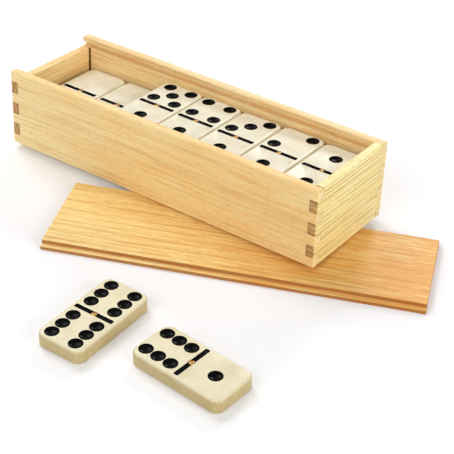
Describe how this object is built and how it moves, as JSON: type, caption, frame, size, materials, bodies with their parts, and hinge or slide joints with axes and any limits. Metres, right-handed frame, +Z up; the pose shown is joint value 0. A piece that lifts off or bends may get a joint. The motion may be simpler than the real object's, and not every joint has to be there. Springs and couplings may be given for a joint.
{
  "type": "domino storage box",
  "caption": "Finger-jointed softwood box with a sliding lid lying beside it, packed with a double-six domino set, two tiles set out in front.",
  "frame": {"origin": "on the table top, under the middle of the rectangle that the whole set covers", "axes": "+X along the box towards its high end board, +Y from the front wall to the back wall, +Z up"},
  "size_m": [0.2356, 0.1698, 0.0459],
  "materials": {
    "box_wood": "satin",
    "lid_wood": "satin",
    "ivory": "gloss",
    "brass": "polished"
  },
  "bodies": {
    "box": {"front_wall": "box_wood", "back_wall": "box_wood", "left_end": "box_wood", "right_end": "box_wood", "bottom_panel": "box_wood", "tile_5_3": "ivory", "tile_6_3": "ivory", "tile_4_4": "ivory", "tile_5_4": "ivory", "tile_6_4": "ivory", "tile_5_5": "ivory", "tile_6_5": "ivory", "pins_bottom_layer": "brass"},
    "lid": {"lid": "lid_wood"},
    "tile_2_2": {"tile_2_2": "ivory", "pin_2_2": "brass"},
    "tile_3_2": {"tile_3_2": "ivory", "pin_3_2": "brass"},
    "tile_4_2": {"tile_4_2": "ivory", "pin_4_2": "brass"},
    "tile_5_2": {"tile_5_2": "ivory", "pin_5_2": "brass"},
    "tile_6_2": {"tile_6_2": "ivory", "pin_6_2": "brass"},
    "tile_3_3": {"tile_3_3": "ivory", "pin_3_3": "brass"},
    "tile_4_3": {"tile_4_3": "ivory", "pin_4_3": "brass"},
    "tile_6_0": {"tile_6_0": "ivory", "pin_6_0": "brass"},
    "tile_5_0": {"tile_5_0": "ivory", "pin_5_0": "brass"},
    "tile_4_0": {"tile_4_0": "ivory", "pin_4_0": "brass"},
    "tile_3_0": {"tile_3_0": "ivory", "pin_3_0": "brass"},
    "tile_2_0": {"tile_2_0": "ivory", "pin_2_0": "brass"},
    "tile_1_0": {"tile_1_0": "ivory", "pin_1_0": "brass"},
    "tile_0_0": {"tile_0_0": "ivory", "pin_0_0": "brass"},
    "tile_5_1": {"tile_5_1": "ivory", "pin_5_1": "brass"},
    "tile_4_1": {"tile_4_1": "ivory", "pin_4_1": "brass"},
    "tile_3_1": {"tile_3_1": "ivory", "pin_3_1": "brass"},
    "tile_2_1": {"tile_2_1": "ivory", "pin_2_1": "brass"},
    "tile_1_1": {"tile_1_1": "ivory", "pin_1_1": "brass"},
    "tile_6_6": {"tile_6_6": "ivory", "pin_6_6": "brass"},
    "tile_6_1": {"tile_6_1": "ivory", "pin_6_1": "brass"}
  },
  "joints": [
    {"name": "lid_slide", "type": "slide", "parent": "box", "child": "lid", "axis": [0.9239, 0.3827, 0], "range_m": [0, 0.177]},
    {"name": "lift_2_2", "type": "slide", "parent": "box", "child": "tile_2_2", "axis": [-0.0185, 0.0446, 0.9988], "range_m": [0, 0.0306]},
    {"name": "lift_3_2", "type": "slide", "parent": "box", "child": "tile_3_2", "axis": [-0.0185, 0.0446, 0.9988], "range_m": [0, 0.0306]},
    {"name": "lift_4_2", "type": "slide", "parent": "box", "child": "tile_4_2", "axis": [-0.0185, 0.0446, 0.9988], "range_m": [0, 0.0306]},
    {"name": "lift_5_2", "type": "slide", "parent": "box", "child": "tile_5_2", "axis": [-0.0185, 0.0446, 0.9988], "range_m": [0, 0.0306]},
    {"name": "lift_6_2", "type": "slide", "parent": "box", "child": "tile_6_2", "axis": [-0.0185, 0.0446, 0.9988], "range_m": [0, 0.0306]},
    {"name": "lift_3_3", "type": "slide", "parent": "box", "child": "tile_3_3", "axis": [-0.0185, 0.0446, 0.9988], "range_m": [0, 0.0306]},
    {"name": "lift_4_3", "type": "slide", "parent": "box", "child": "tile_4_3", "axis": [-0.0185, 0.0446, 0.9988], "range_m": [0, 0.0306]},
    {"name": "lift_6_0", "type": "slide", "parent": "tile_2_2", "child": "tile_6_0", "axis": [-0.0185, 0.0446, 0.9988], "range_m": [0, 0.0234]},
    {"name": "lift_5_0", "type": "slide", "parent": "tile_3_2", "child": "tile_5_0", "axis": [-0.0185, 0.0446, 0.9988], "range_m": [0, 0.0234]},
    {"name": "lift_4_0", "type": "slide", "parent": "tile_4_2", "child": "tile_4_0", "axis": [-0.0185, 0.0446, 0.9988], "range_m": [0, 0.0234]},
    {"name": "lift_3_0", "type": "slide", "parent": "tile_5_2", "child": "tile_3_0", "axis": [-0.0185, 0.0446, 0.9988], "range_m": [0, 0.0234]},
    {"name": "lift_2_0", "type": "slide", "parent": "tile_6_2", "child": "tile_2_0", "axis": [-0.0185, 0.0446, 0.9988], "range_m": [0, 0.0234]},
    {"name": "lift_1_0", "type": "slide", "parent": "tile_3_3", "child": "tile_1_0", "axis": [-0.0185, 0.0446, 0.9988], "range_m": [0, 0.0234]},
    {"name": "lift_0_0", "type": "slide", "parent": "tile_4_3", "child": "tile_0_0", "axis": [-0.0185, 0.0446, 0.9988], "range_m": [0, 0.0234]},
    {"name": "lift_5_1", "type": "slide", "parent": "tile_4_0", "child": "tile_5_1", "axis": [-0.0185, 0.0446, 0.9988], "range_m": [0, 0.0162]},
    {"name": "lift_4_1", "type": "slide", "parent": "tile_3_0", "child": "tile_4_1", "axis": [-0.0185, 0.0446, 0.9988], "range_m": [0, 0.0162]},
    {"name": "lift_3_1", "type": "slide", "parent": "tile_2_0", "child": "tile_3_1", "axis": [-0.0185, 0.0446, 0.9988], "range_m": [0, 0.0162]},
    {"name": "lift_2_1", "type": "slide", "parent": "tile_1_0", "child": "tile_2_1", "axis": [-0.0185, 0.0446, 0.9988], "range_m": [0, 0.0162]},
    {"name": "lift_1_1", "type": "slide", "parent": "tile_0_0", "child": "tile_1_1", "axis": [-0.0185, 0.0446, 0.9988], "range_m": [0, 0.0162]},
    {"name": "lift_6_6", "type": "slide", "parent": "box", "child": "tile_6_6", "axis": [0, 0, 1], "range_m": [0, 0.04]},
    {"name": "lift_6_1", "type": "slide", "parent": "box", "child": "tile_6_1", "axis": [0, 0, 1], "range_m": [0, 0.04]}
  ]
}
